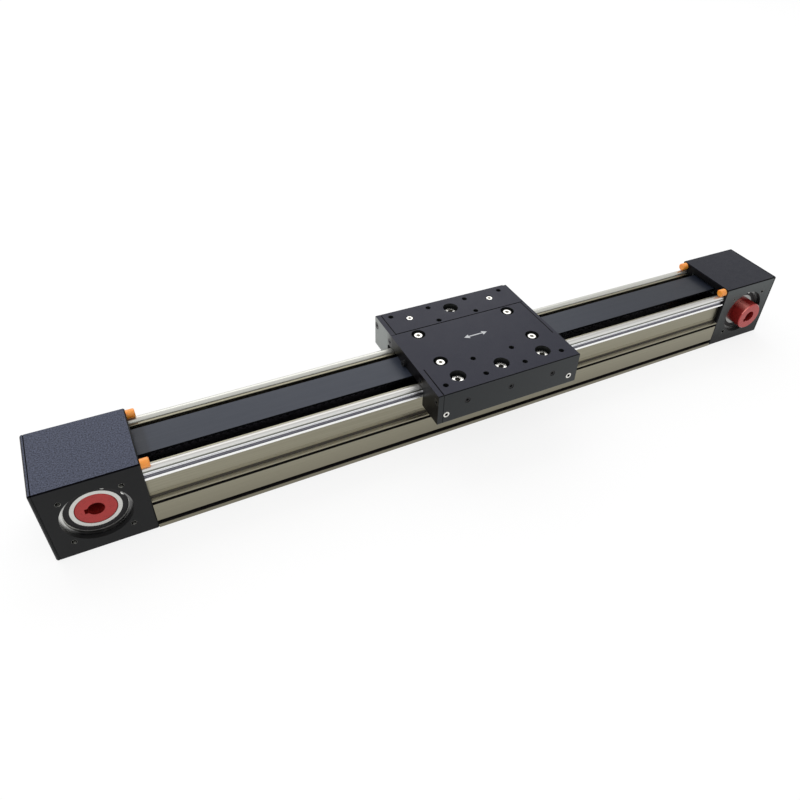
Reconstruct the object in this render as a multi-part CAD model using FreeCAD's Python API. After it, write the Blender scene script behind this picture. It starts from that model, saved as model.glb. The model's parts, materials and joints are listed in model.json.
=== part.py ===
import FreeCAD, Part
import math
import os
from FreeCAD import Vector

# Belt driven linear axis. Millimetres, +Z up. The origin is at the middle of the axis on the
# plane that it rests on, +X runs along the travel towards the drive end, and the side with the
# hub that takes the motor faces -Y.

# Bearings and their retaining rings
bearing_bore = 25.0
bearing_outside = 42.0
bearing_width = 9.0
inner_ring_outside = 30.0
outer_ring_inside = 37.0
seal_thickness = 0.8
ring_depth = 3.0
ring_thickness = 1.75
ring_groove_radius = 22.25
ring_width = 3.4
ring_lug_radius = 2.1
ring_lug_angle = 21.0
ring_eye_radius = 0.8
running_clearance = 0.1

# Belt and pulleys
pulley_inset = 31.0
tooth_pitch = 5.0
pulley_teeth = 28
pitch_line_offset = 0.61
belt_width = 25.0
belt_back = 1.5
tooth_height = 1.2
tooth_base = 2.5
tooth_tip = 1.5
belt_gap = 0.1
flange_height = 2.5
pulley_flange = 1.0
pulley_side_gap = 0.5
bearing_gap = 0.45
cavity_clearance = 0.7

# Widths from the middle plane outward
half_belt = belt_width / 2
bearing_back = half_belt + pulley_side_gap + pulley_flange + bearing_gap
bearing_face = bearing_back + bearing_width
half_width = bearing_face + ring_thickness + ring_depth

# End housings
housing_height = 60.0
axis_z = housing_height / 2
housing_beyond_axis = 28.5
cover_thickness = 2.0
housing_edge = 0.8
face_hole_square = 35.0
face_hole_radius = 1.65
face_hole_depth = 10.0
hand_hole_height = 30.0
cover_screw_inset = 6.0
seam_chamfer = 0.3
port_screw_hole = 2.7
port_screw_head_hole = 4.8
port_screw_head = 4.25
port_screw_head_height = 2.2
port_screw_length = 12.0
port_screw_seat = 2.5
flush_drop = 0.05

# Profile, with its heights taken from the pulley axis
profile_length = 493.0
side_recess = 3.6
flange_inset = 0.75
flange_reach = half_width - flange_inset
lower_face_drop = 4.2
lower_face_top = axis_z - lower_face_drop
flange_bottom_rise = 14.0
flange_bottom = axis_z + flange_bottom_rise
flange_top_rise = 15.7
flange_top = axis_z + flange_top_rise
channel_floor_rise = 12.7
channel_floor = axis_z + channel_floor_rise
side_slot_opening = 3.7
side_slot_bottom = 3.2
sensor_slot_opening = 2.5
slot_lip = 1.6
slot_depth = 4.8
web = 1.8
cradle_wall = 1.85
port_radius = 2.1
port_boss_radius = 3.8
port_y = 9.0
upper_port_rise = 8.5
upper_port_z = axis_z + upper_port_rise
lower_port_drop = 13.6
lower_port_z = axis_z - lower_port_drop
relief_half_width = 12.0
relief_depth = 0.4

# Guide rods
rod_radius = 3.0
rod_inset = 4.45
rod_y = half_width - rod_inset
rod_rise = 20.15
rod_z = axis_z + rod_rise

# Hubs
shaft_bore = 10.0
key_width = 4.0
key_depth = 1.7
hub_reach = 8.3
hub_chamfer = 0.6

# Buffers
buffer_radius = 3.2
buffer_length = 5.5
buffer_inset = 3.8
buffer_y = half_width - buffer_inset
buffer_rise = 6.45
buffer_z = rod_z + buffer_rise
buffer_chamfer = 0.6

# Length of the carriage, and where it stands in its travel
carriage_x = 4.0
carriage_length = 120.0
half_carriage = carriage_length / 2

# Rollers and their axles
roller_radius = 12.0
roller_width = 8.0
roller_offset = 14.1
roller_inset = 23.5
roller_spacing = half_carriage - roller_inset
roller_y = rod_y + roller_offset
groove_clearance = 0.1
cradle_clearance = 0.35
inner_race_radius = 6.4
shield_radius = 9.0
shield_recess = 0.3
axle_radius = 4.0
axle_eccentricity = 2.35
axle_head_y = roller_y + axle_eccentricity
axle_cb_radius = 6.0
axle_head_radius = 4.25
axle_head_height = 3.5
axle_head_depth = 3.4
nut_flats = 13.0
nut_height = 4.0
stud_radius = 2.4

# Belt clamps
clamp_inset = 20.0
clamp_x = half_carriage - clamp_inset
clamp_length = 20.0
clamp_side = 9.0
clamp_half_width = half_belt + clamp_side
clamp_rise = 7.85
clamp_top = rod_z + clamp_rise
clamp_screw_side = 5.5
clamp_screw_y = half_belt + clamp_screw_side
jaw_side = 4.3
jaw_half_width = half_belt + jaw_side
jaw_drop = 2.95
jaw_bottom = rod_z - jaw_drop
jaw_screw_side = 2.1
jaw_screw_y = half_belt + jaw_screw_side
clamp_cb_radius = 5.4
clamp_head_radius = 3.5
clamp_head_height = 2.8
clamp_head_depth = 1.0
clamp_bolt_radius = 2.0
clamp_bolt_end_gap = 0.2
clamp_socket = 3.0
jaw_screw_radius = 1.5
jaw_head_radius = 2.75
jaw_head_depth = 2.0

# Carriage
carriage_rise = 14.45
carriage_top = rod_z + carriage_rise
skirt_drop = 11.25
skirt_bottom = rod_z - skirt_drop
skirt_wall = 2.35
skirt_clearance = 1.1
roof_rise = 5.05
roof_bottom = rod_z + roof_rise
left_plate = 4.0
right_plate = 2.8
top_skin = 3.0
seam_front_side = 4.0
seam_front_y = -clamp_screw_y - seam_front_side
seam_rear_side = 6.5
seam_rear_y = clamp_screw_y + seam_rear_side
seam_gap = 0.25
seam_groove = 0.45
corner_notch = 1.2
leg_gap = 1.8
leg_inner_y = half_width + leg_gap
end_opening_rise = 3.75
end_opening_top = rod_z + end_opening_rise
carriage_edge = 0.5
skirt_inner_y = roller_y + roller_radius + skirt_clearance
half_carriage_width = skirt_inner_y + skirt_wall

# Carriage holes
pattern_shift_y = 1.7
tapped_radius = 2.1
tapped_depth = 8.0
tapped_inner_x = 16.7
tapped_outer_inset = 10.5
tapped_outer_x = half_carriage - tapped_outer_inset
tapped_inner_span = 53.4
tapped_outer_span = 90.8

# Small screws and fits
fit_gap = 0.1
small_screw_radius = 1.25
small_hole_radius = 1.6
small_socket = 2.0
cover_screw_head = 2.7
cover_screw_length = 9.0
end_screw_inner_side = 2.25
end_screw_inner_y = rod_y + end_screw_inner_side
end_screw_left_inset = 3.3
end_screw_left_y = half_carriage_width - end_screw_left_inset
end_screw_right_inset = 6.3
end_screw_right_y = half_carriage_width - end_screw_right_inset
end_screw_rise = 7.45
end_screw_z = rod_z + end_screw_rise
end_screw_head = 3.0
end_screw_length = 7.0
tension_screw_rise = 6.05
tension_screw_z = rod_z + tension_screw_rise
tension_screw_radius = 1.5
skirt_screw_inset = 7.0
skirt_screw_x = half_carriage - skirt_screw_inset
skirt_screw_drop = 4.05
skirt_screw_z = rod_z - skirt_screw_drop
skirt_screw_head = 2.8
skirt_screw_reach = 6.0
skirt_screw_length = skirt_wall + skirt_screw_reach
grease_rise = 3.75
grease_z = rod_z + grease_rise
grease_radius = 2.4
bar_screw_inset = 34.0
bar_screw_x = half_carriage - bar_screw_inset
bar_screw_end_y = 8.6
bar_screw_head = 4.25
bar_screw_head_height = 5.0
bar_screw_sink = 5.4
wiper_length = 5.6
wiper_gap = 0.3
wiper_foot = 8.0
wiper_slope_end = 12.0

# Values worked out from the sizes above
half_length = profile_length / 2
axis_distance = profile_length + 2 * pulley_inset
pulley_x = axis_distance / 2
strand_teeth = int(round(axis_distance / tooth_pitch))
strand_pitch = axis_distance / strand_teeth
pulley_radius = pulley_teeth * tooth_pitch / (2 * math.pi) - pitch_line_offset
belt_inside = pulley_radius + belt_gap
belt_outside = belt_inside + belt_back
belt_top = axis_z + belt_outside
cavity_radius = pulley_radius + flange_height + cavity_clearance
housing_end = pulley_x + housing_beyond_axis
plate_left_x = -half_carriage + left_plate
plate_right_x = half_carriage - right_plate
cradle_front = roller_y - roller_radius - cradle_clearance
roller_x = [-roller_spacing, 0.0, roller_spacing]
roller_bottom = rod_z - roller_width / 2
roller_top = rod_z + roller_width / 2
axle_bottom = roller_bottom - nut_height
axle_seat = carriage_top - axle_head_depth - axle_head_height


def box(x0, x1, y0, y1, z0, z1):
    return Part.makeBox(x1 - x0, y1 - y0, z1 - z0, Vector(x0, y0, z0))


def rod_along_x(radius, x0, x1, y, z):
    return Part.makeCylinder(radius, x1 - x0, Vector(x0, y, z), Vector(1, 0, 0))


def rod_along_y(radius, y0, y1, x, z):
    return Part.makeCylinder(radius, y1 - y0, Vector(x, y0, z), Vector(0, 1, 0))


def rod_along_z(radius, z0, z1, x, y):
    return Part.makeCylinder(radius, z1 - z0, Vector(x, y, z0), Vector(0, 0, 1))


def tube_along_y(outer, inner, y0, y1, x, z):
    return rod_along_y(outer, y0, y1, x, z).cut(rod_along_y(inner, y0, y1, x, z))


def mirrored_x(shape):
    return shape.mirror(Vector(0, 0, 0), Vector(1, 0, 0))


def mirrored_y(shape):
    return shape.mirror(Vector(0, 0, 0), Vector(0, 1, 0))


def chamfered(shape, size, chosen):
    """Chamfers the edges whose bounding boxes are chosen."""
    return shape.makeChamfer(size, [edge for edge in shape.Edges if chosen(edge.BoundBox)])


def placed(shape, position, axis):
    moved = shape.copy()
    turn = FreeCAD.Rotation(Vector(0, 0, 1), Vector(*axis))
    moved.Placement = FreeCAD.Placement(Vector(*position), turn)
    return moved


def rounded_wire(corners):
    """A closed wire in the Y-Z plane. Each corner is y, z and its radius, 0 for a sharp one."""
    count = len(corners)
    starts = []
    ends = []
    middles = []
    for i in range(count):
        y, z, radius = corners[i]
        here = Vector(0, y, z)
        before = Vector(0, corners[i - 1][0], corners[i - 1][1]) - here
        after = Vector(0, corners[(i + 1) % count][0], corners[(i + 1) % count][1]) - here
        before.normalize()
        after.normalize()
        if radius == 0:
            starts.append(here)
            ends.append(here)
            middles.append(None)
            continue
        half_angle = before.getAngle(after) / 2
        setback = radius / math.tan(half_angle)
        inward = before + after
        inward.normalize()
        starts.append(here + before * setback)
        ends.append(here + after * setback)
        middles.append(here + inward * (radius / math.sin(half_angle) - radius))
    edges = []
    for i in range(count):
        if middles[i] is not None:
            edges.append(Part.Arc(starts[i], middles[i], ends[i]).toShape())
        following = starts[(i + 1) % count]
        if (following - ends[i]).Length > 1e-6:
            edges.append(Part.LineSegment(ends[i], following).toShape())
    return Part.Wire(edges)


def extruded(corners, x0, x1):
    face = Part.Face(rounded_wire(corners))
    solid = face.extrude(Vector(x1 - x0, 0, 0))
    solid.translate(Vector(x0, 0, 0))
    return solid


def both_sides(corners):
    """Adds the mirror image of a half outline that starts and ends on the middle plane."""
    other = [(-y, z, radius) for y, z, radius in reversed(corners) if y != 0]
    return corners + other


def hexagon(flats, height):
    radius = flats / math.sqrt(3)
    points = [Vector(radius * math.cos(math.radians(60 * i)), radius * math.sin(math.radians(60 * i)), 0)
              for i in range(7)]
    return Part.Face(Part.makePolygon(points)).extrude(Vector(0, 0, height))


def cap_screw(head_radius, head_height, shank_radius, length, flats):
    """A screw that hangs down from its head's underside at the origin, with a hexagon socket."""
    head = rod_along_z(head_radius, 0, head_height, 0, 0)
    shank = rod_along_z(shank_radius, -length, 0, 0, 0)
    socket = hexagon(flats, head_height)
    socket.translate(Vector(0, 0, head_height * 0.2))
    return head.fuse(shank).cut(socket).removeSplitter()


def sunk_screw(head_radius, shank_radius, length, flats):
    """A countersunk screw with its flat head's top at the origin."""
    cone = Part.makeCone(head_radius, shank_radius, head_radius - shank_radius,
                         Vector(0, 0, 0), Vector(0, 0, -1))
    shank = rod_along_z(shank_radius, -length, 0, 0, 0)
    socket = hexagon(flats, head_radius - shank_radius)
    socket.translate(Vector(0, 0, -0.9 * (head_radius - shank_radius)))
    return cone.fuse(shank).cut(socket).removeSplitter()


def sunk_hole(head_radius, hole_radius, length):
    """The space that a countersunk screw needs, down from the surface at the origin."""
    cone = Part.makeCone(head_radius, hole_radius, head_radius - hole_radius,
                         Vector(0, 0, 0), Vector(0, 0, -1))
    return cone.fuse(rod_along_z(hole_radius, -length, 0, 0, 0))


# Profile
def profile():
    recess_y = half_width - side_recess
    slot_back = half_width - slot_depth
    slot_front = half_width - slot_lip
    cradle_top = rod_z + 0.8
    channel_y = rod_y - rod_radius - cradle_wall
    side_slot_top = side_slot_bottom + side_slot_opening
    sensor_top = lower_face_top - 1.2
    sensor_bottom = sensor_top - sensor_slot_opening
    outline = both_sides([
        (0.0, relief_depth, 0), (relief_half_width, relief_depth, 0),
        (relief_half_width + relief_depth, 0.0, 0), (half_width, 0.0, 0.6),
        (half_width, side_slot_bottom, 0.3), (slot_front, side_slot_bottom, 0),
        (slot_front, side_slot_bottom - 1.3, 0), (slot_back, side_slot_bottom - 1.3, 0),
        (slot_back, side_slot_top + 1.3, 0), (slot_front, side_slot_top + 1.3, 0),
        (slot_front, side_slot_top, 0), (half_width, side_slot_top, 0.3),
        (half_width, sensor_bottom, 0.3), (slot_front, sensor_bottom, 0),
        (slot_front, sensor_bottom - 2.9, 0), (slot_back + 0.5, sensor_bottom - 2.9, 0),
        (slot_back + 0.5, sensor_top, 0), (half_width, sensor_top, 0.25),
        (half_width, lower_face_top, 0.5), (recess_y, lower_face_top, 0.5),
        (recess_y, lower_face_top + 1.4, 0), (recess_y - 0.3, lower_face_top + 1.6, 0),
        (recess_y, lower_face_top + 1.8, 0), (recess_y, lower_face_top + 4.0, 0),
        (recess_y - 0.3, lower_face_top + 4.2, 0), (recess_y, lower_face_top + 4.4, 0),
        (recess_y, flange_bottom, 1.0), (flange_reach, flange_bottom, 0.5),
        (flange_reach, flange_top, 0.5), (cradle_front, flange_top, 0.4),
        (cradle_front, rod_z, 0), (rod_y, rod_z, 0), (rod_y, cradle_top, 0),
        (channel_y, cradle_top, 0.5), (channel_y, channel_floor, 1.0), (0.0, channel_floor, 0)])
    body = extruded(outline, -half_length, half_length)
    for hollow in profile_hollows(recess_y, slot_back):
        body = body.cut(extruded(hollow, -half_length, half_length))
    for y, z in port_places():
        body = body.fuse(port_boss(y, z))
    for y, z in port_places():
        body = body.cut(rod_along_x(port_radius, -half_length, half_length, y, z))
    for side in (-1, 1):
        body = body.cut(rod_along_x(rod_radius, -half_length, half_length, side * rod_y, rod_z))
    return body.removeSplitter()


def lower_web_top():
    return axis_z - belt_inside + tooth_height + 3.0 + web


def port_boss(y, z):
    """A round screw port with a neck that joins it to the nearer web."""
    boss = rod_along_x(port_boss_radius, -half_length, half_length, y, z)
    web_z = channel_floor - web if z > axis_z else lower_web_top()
    low, high = sorted((z, web_z))
    neck = box(-half_length, half_length, y - port_boss_radius, y + port_boss_radius, low, high)
    return boss.fuse(neck)


def profile_hollows(recess_y, slot_back):
    """The chambers of the section: the belt's way back, the large one over it and one each side."""
    belt_low = axis_z - belt_outside - 2.6
    belt_high = lower_web_top() - web
    belt_side = half_belt + 3.0
    chambers = [(-belt_side, belt_side, belt_low, belt_high),
                (-recess_y + 2.4, recess_y - 2.4, lower_web_top(), channel_floor - web)]
    for side in (-1, 1):
        near, far = sorted((side * (belt_side + web), side * (slot_back - web)))
        chambers.append((near, far, belt_low, belt_high))
    return [[(y0, z0, 1), (y1, z0, 1), (y1, z1, 1), (y0, z1, 1)] for y0, y1, z0, z1 in chambers]


# Guide rods
def guide_rod(side):
    return rod_along_x(rod_radius, -half_length, half_length, side * rod_y, rod_z)


# End housings, made for the +X end
def housing():
    body = box(half_length, housing_end, -half_width, half_width, 0, housing_height)
    body = chamfered(body, housing_edge, lambda edge: edge.XMin < housing_end - 1)
    body = chamfered(body, seam_chamfer, lambda edge: edge.XMin > housing_end - 0.01)
    body = body.cut(rod_along_y(cavity_radius, -bearing_back, bearing_back, pulley_x, axis_z))
    for side in (-1, 1):
        bore = rod_along_y(bearing_outside / 2, bearing_back, half_width, pulley_x, axis_z)
        groove_front = half_width - ring_depth
        groove_back = groove_front - ring_thickness
        groove = rod_along_y(ring_groove_radius, groove_back, groove_front, pulley_x, axis_z)
        pair = bore.fuse(groove)
        body = body.cut(pair if side > 0 else mirrored_y(pair))
        for dx in (-0.5, 0.5):
            for dz in (-0.5, 0.5):
                hole = rod_along_y(face_hole_radius, half_width - face_hole_depth, half_width,
                                   pulley_x + dx * face_hole_square, axis_z + dz * face_hole_square)
                body = body.cut(hole if side > 0 else mirrored_y(hole))
    passage_half = bearing_back
    for low, high in ((axis_z + belt_inside - tooth_height - 2.0, axis_z + cavity_radius),
                      (axis_z - cavity_radius, axis_z - belt_inside + tooth_height + 2.0)):
        body = body.cut(box(half_length, pulley_x, -passage_half, passage_half, low, high))
    body = body.cut(box(pulley_x, housing_end, -passage_half, passage_half,
                        axis_z - hand_hole_height / 2, axis_z + hand_hole_height / 2))
    for y, z in port_places():
        pocket_end = pulley_x - cavity_radius / 2
        body = body.cut(rod_along_x(port_screw_hole, half_length, pocket_end, y, z))
        body = body.cut(rod_along_x(port_screw_head_hole, half_length + port_screw_seat, pocket_end, y, z))
    for y, z in cover_screw_places():
        body = body.cut(rod_along_x(small_screw_radius, housing_end - cover_screw_length, housing_end, y, z))
    return body.removeSplitter()


def port_places():
    return [(side * port_y, z) for side in (-1, 1) for z in (upper_port_z, lower_port_z)]


def cover_screw_places():
    y = half_width - cover_screw_inset
    z = axis_z - cover_screw_inset
    return [(sy * y, axis_z + sz * z) for sy in (-1, 1) for sz in (-1, 1)]


def end_cover():
    outer = housing_end + cover_thickness
    plate = box(housing_end, outer, -half_width, half_width, 0, housing_height)
    plate = chamfered(plate, housing_edge, lambda edge: edge.XLength > 1)
    plate = chamfered(plate, housing_edge, lambda edge: edge.XMin > outer - 0.01)
    plate = chamfered(plate, seam_chamfer, lambda edge: edge.XMax < housing_end + 0.01)
    for y, z in cover_screw_places():
        plate = plate.cut(placed(sunk_hole(cover_screw_head + 0.1, small_hole_radius, cover_thickness + 1),
                                 (outer, y, z), (1, 0, 0)))
    return plate


def cover_screws():
    outer = housing_end + cover_thickness
    return [placed(sunk_screw(cover_screw_head, small_screw_radius, cover_screw_length, small_socket),
                   (outer - flush_drop, y, z), (1, 0, 0))
            for y, z in cover_screw_places()]


def housing_screws():
    seat = half_length + port_screw_seat
    head = rod_along_x(port_screw_head, seat, seat + port_screw_head_height, 0, 0)
    screw = head.fuse(rod_along_x(port_radius, seat - port_screw_length, seat, 0, 0))
    return [screw.translated(Vector(0, y, z)) for y, z in port_places()]


# Bearings
def bearing_outer_ring(side):
    ring = tube_along_y(bearing_outside / 2, outer_ring_inside / 2, bearing_back, bearing_face,
                        pulley_x, axis_z)
    return ring if side > 0 else mirrored_y(ring)


def bearing_seal(side):
    inner = inner_ring_outside / 2 + running_clearance
    outer_y = bearing_face - shield_recess
    seal = tube_along_y(outer_ring_inside / 2, inner, outer_y - seal_thickness, outer_y, pulley_x, axis_z)
    return seal if side > 0 else mirrored_y(seal)


def bearing_inner_ring(side):
    ring = tube_along_y(inner_ring_outside / 2, bearing_bore / 2, bearing_back, bearing_face,
                        pulley_x, axis_z)
    return ring if side > 0 else mirrored_y(ring)


def retaining_ring(side, centre_x, gap_angle):
    """An internal ring with an eyed lug on each side of its gap, at gap_angle from +X towards +Z."""
    y1 = -half_width + ring_depth
    y2 = y1 + ring_thickness
    outer = ring_groove_radius
    ring = tube_along_y(outer, outer - ring_width, y1, y2, 0, 0)
    reach = 2 * outer
    half_gap = reach * math.tan(math.radians(ring_lug_angle))
    wedge = [Vector(0, y1, 0), Vector(reach, y1, -half_gap), Vector(reach, y1, half_gap), Vector(0, y1, 0)]
    ring = ring.cut(Part.Face(Part.makePolygon(wedge)).extrude(Vector(0, ring_thickness, 0)))
    radius = outer - ring_lug_radius - 0.3
    for end in (-1, 1):
        angle = math.radians(end * ring_lug_angle)
        x, z = radius * math.cos(angle), radius * math.sin(angle)
        ring = ring.fuse(rod_along_y(ring_lug_radius, y1, y2, x, z))
        ring = ring.cut(rod_along_y(ring_eye_radius, y1, y2, x, z))
    ring = ring.removeSplitter()
    ring.rotate(Vector(0, 0, 0), Vector(0, 1, 0), -gap_angle)
    ring.translate(Vector(centre_x, 0, axis_z))
    return ring if side < 0 else mirrored_y(ring)


# Pulleys and hubs
def toothed_pulley():
    step = 2 * math.pi / pulley_teeth
    half_top = (tooth_base / 2 + 0.25) / pulley_radius
    floor = pulley_radius - tooth_height - 0.15
    half_floor = (tooth_tip / 2 + 0.2) / floor
    edges = []
    for i in range(pulley_teeth):
        centre = (i + 0.5) * step
        land_start = centre - step + half_top
        land_end = centre - half_top
        land = [polar(pulley_radius, land_start + (land_end - land_start) * k / 2) for k in range(3)]
        edges.append(Part.Arc(land[0], land[1], land[2]).toShape())
        foot = polar(floor, centre - half_floor)
        heel = polar(floor, centre + half_floor)
        top = polar(pulley_radius, centre + half_top)
        edges.append(Part.LineSegment(land[2], foot).toShape())
        edges.append(Part.LineSegment(foot, heel).toShape())
        edges.append(Part.LineSegment(heel, top).toShape())
    half = half_belt + pulley_side_gap
    body = Part.Face(Part.Wire(edges)).extrude(Vector(0, 2 * half, 0))
    body.translate(Vector(0, -half, 0))
    body = body.fuse(rod_along_y(inner_ring_outside / 2, -bearing_back, bearing_back, 0, 0))
    body = body.cut(rod_along_y(bearing_bore / 2, -bearing_back, bearing_back, 0, 0))
    body.translate(Vector(pulley_x, 0, axis_z))
    return body.removeSplitter()


def polar(radius, angle):
    return Vector(radius * math.cos(angle), 0, radius * math.sin(angle))


def pulley_flanges():
    half = half_belt + pulley_side_gap
    flange = tube_along_y(pulley_radius + flange_height, inner_ring_outside / 2,
                          half, half + pulley_flange, pulley_x, axis_z)
    return [flange, mirrored_y(flange)]


def hub(front_end, key_angle):
    """The hollow shaft through both bearings, with its keyway at key_angle from +X towards +Z."""
    front = -front_end
    shaft = rod_along_y(bearing_bore / 2, front, bearing_face, 0, 0)
    shaft = shaft.makeChamfer(hub_chamfer, [edge for edge in shaft.Edges if len(edge.Vertexes) == 1])
    shaft = shaft.cut(rod_along_y(shaft_bore / 2, front, bearing_face, 0, 0))
    keyway = box(0, shaft_bore / 2 + key_depth, front, bearing_face, -key_width / 2, key_width / 2)
    keyway.rotate(Vector(0, 0, 0), Vector(0, 1, 0), -key_angle)
    shaft = shaft.cut(keyway)
    shaft.translate(Vector(pulley_x, 0, axis_z))
    return shaft.removeSplitter()


# Belt
def drive_belt():
    """The closed belt: two straight strands and half a turn on each pulley, teeth inward."""
    inner = []
    half_base = tooth_base / 2
    half_tip = tooth_tip / 2
    for i in range(strand_teeth):
        x = -pulley_x + (i + 0.5) * strand_pitch
        inner += [(x - half_base, belt_inside), (x - half_tip, belt_inside - tooth_height),
                  (x + half_tip, belt_inside - tooth_height), (x + half_base, belt_inside)]
    upper = [Vector(x, 0, axis_z + z) for x, z in inner]
    lower = [Vector(-x, 0, axis_z - z) for x, z in inner]
    right = wrapped_teeth(pulley_x, 1)
    left = wrapped_teeth(-pulley_x, -1)
    points = upper + right + lower + left
    points.append(points[0])
    inside = Part.Face(Part.makePolygon(points))
    top = axis_z + belt_outside
    bottom = axis_z - belt_outside
    outside = Part.Wire([
        Part.LineSegment(Vector(-pulley_x, 0, top), Vector(pulley_x, 0, top)).toShape(),
        Part.Arc(Vector(pulley_x, 0, top), Vector(pulley_x + belt_outside, 0, axis_z),
                 Vector(pulley_x, 0, bottom)).toShape(),
        Part.LineSegment(Vector(pulley_x, 0, bottom), Vector(-pulley_x, 0, bottom)).toShape(),
        Part.Arc(Vector(-pulley_x, 0, bottom), Vector(-pulley_x - belt_outside, 0, axis_z),
                 Vector(-pulley_x, 0, top)).toShape()])
    band = Part.Face(outside).cut(inside)
    belt = band.extrude(Vector(0, belt_width, 0))
    belt.translate(Vector(0, -half_belt, 0))
    return belt


def wrapped_teeth(centre_x, side):
    """The inner points of the teeth on one pulley, clockwise as seen from the front."""
    points = []
    step = 2 * math.pi / pulley_teeth
    half_base = tooth_base / 2
    half_tip = tooth_tip / 2
    for i in range(pulley_teeth // 2):
        angle = math.pi / 2 - (i + 0.5) * step
        if side < 0:
            angle -= math.pi
        out = Vector(math.cos(angle), 0, math.sin(angle))
        along = Vector(math.sin(angle), 0, -math.cos(angle))
        base = math.sqrt(belt_inside ** 2 - half_base ** 2)
        centre = Vector(centre_x, 0, axis_z)
        points += [centre + out * base - along * half_base,
                   centre + out * (base - tooth_height) - along * half_tip,
                   centre + out * (base - tooth_height) + along * half_tip,
                   centre + out * base + along * half_base]
    return points


# Buffers
def buffers():
    found = []
    for side in (-1, 1):
        start = half_length - buffer_length
        peg = rod_along_x(buffer_radius, start, half_length, side * buffer_y, buffer_z)
        peg = chamfered(peg, buffer_chamfer, lambda edge: edge.XMax < start + 0.1)
        found += [peg, mirrored_x(peg)]
    return found


# Carriage
def tapped_places():
    inner = [(sx * tapped_inner_x, pattern_shift_y + sy * tapped_inner_span / 2)
             for sx in (-1, 1) for sy in (-1, 1)]
    middle = [(sx * tapped_inner_x, pattern_shift_y + sy * tapped_outer_span / 2)
              for sx in (-1, 1) for sy in (-1, 1)]
    outer = [(sx * tapped_outer_x, pattern_shift_y + sy * tapped_outer_span / 2)
             for sx in (-1, 1) for sy in (-1, 1)]
    return inner + middle + outer


def cut_tapped_holes(body):
    for x, y in tapped_places():
        body = body.cut(rod_along_z(tapped_radius, carriage_top - tapped_depth, carriage_top, x, y))
    return body


def cut_end_screw_holes(body, side):
    for x, outer_y, inward in ((plate_left_x, end_screw_left_y, 1), (plate_right_x, end_screw_right_y, -1)):
        for y in (end_screw_inner_y, outer_y):
            thickness = half_carriage - abs(x)
            x0, x1 = sorted((x, x + inward * (end_screw_length - thickness + 0.3)))
            body = body.cut(rod_along_x(small_screw_radius, x0, x1, side * y, end_screw_z))
    return body


def cut_skirt_holes(body, side):
    face = side * half_carriage_width
    for x in (-skirt_screw_x, skirt_screw_x):
        hole = sunk_hole(skirt_screw_head + 0.1, small_hole_radius, skirt_wall + 1)
        body = body.cut(placed(hole, (x, face, skirt_screw_z), (0, side, 0)))
    for x in roller_x:
        y0, y1 = sorted((side * skirt_inner_y, face))
        body = body.cut(rod_along_y(grease_radius, y0, y1, x, grease_z))
    return body


def front_axle_holes(body):
    for x in roller_x:
        body = body.cut(rod_along_z(axle_cb_radius, axle_seat, carriage_top, x, -roller_y))
        body = body.cut(rod_along_z(axle_radius + fit_gap, roof_bottom, axle_seat, x, -roller_y))
    return body


def rear_axle_holes(body):
    for x in roller_x:
        if x == 0:
            body = body.cut(rod_along_z(axle_cb_radius, axle_seat, carriage_top, x, axle_head_y))
        radius = stud_radius + (fit_gap if x == 0 else 0.45)
        body = body.cut(rod_along_z(radius, roof_bottom, carriage_top, x, axle_head_y))
    return body


def carriage_plate():
    """The main plate with the front skirt. Its tongue covers the left end plate at the middle."""
    front = -half_carriage_width
    section = [(seam_rear_y, carriage_top, carriage_edge), (front, carriage_top, carriage_edge),
               (front, skirt_bottom, carriage_edge), (front + skirt_wall, skirt_bottom, 0.3),
               (front + skirt_wall, roof_bottom, 1.0), (seam_rear_y, roof_bottom, 0)]
    body = extruded(section, -half_carriage, half_carriage)
    skin = carriage_top - top_skin
    body = body.cut(box(-half_carriage, plate_left_x, front, seam_front_y, skirt_bottom, carriage_top))
    body = body.cut(box(-half_carriage, plate_left_x, seam_front_y, seam_rear_y, roof_bottom, skin))
    body = body.cut(box(plate_right_x, half_carriage, seam_front_y, seam_rear_y, roof_bottom, carriage_top))
    body = body.cut(box(plate_right_x, half_carriage, front + skirt_wall, seam_front_y,
                        roof_bottom - 1, skin))
    groove_bottom = carriage_top - seam_groove
    left_groove = plate_left_x + seam_groove
    body = body.cut(box(plate_left_x, left_groove, front, seam_front_y, groove_bottom, carriage_top))
    body = body.cut(box(plate_left_x, left_groove, front, front + seam_groove, skirt_bottom, carriage_top))
    body = body.cut(box(plate_right_x - seam_groove, plate_right_x, seam_front_y, seam_rear_y,
                        groove_bottom, carriage_top))
    body = cut_tapped_holes(body)
    body = front_axle_holes(body)
    body = cut_skirt_holes(body, -1)
    body = cut_end_screw_holes(body, -1)
    seat = carriage_top - clamp_head_depth - clamp_head_height
    for sx in (-1, 1):
        x0 = sx * clamp_x - clamp_length / 2 - 0.2
        body = body.cut(box(x0, x0 + clamp_length + 0.4, -clamp_half_width - 0.2, clamp_half_width + 0.2,
                            roof_bottom, clamp_top))
        for sy in (-1, 1):
            x, y = sx * clamp_x, sy * clamp_screw_y
            body = body.cut(rod_along_z(clamp_cb_radius, seat, carriage_top, x, y))
            body = body.cut(rod_along_z(2.1, clamp_top, seat, x, y))
        a, b = sorted((sx * (clamp_x + clamp_length / 2), sx * half_carriage))
        body = body.cut(box(a, b, -1.7, 1.7, roof_bottom, tension_screw_z + 1.7))
        body = body.cut(rod_along_y(port_radius, bar_screw_end_y - 0.6, seam_rear_y,
                                    sx * bar_screw_x, bar_screw_z()))
    return body.removeSplitter()


def bar_screw_z():
    return (roof_bottom + carriage_top) / 2


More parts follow.
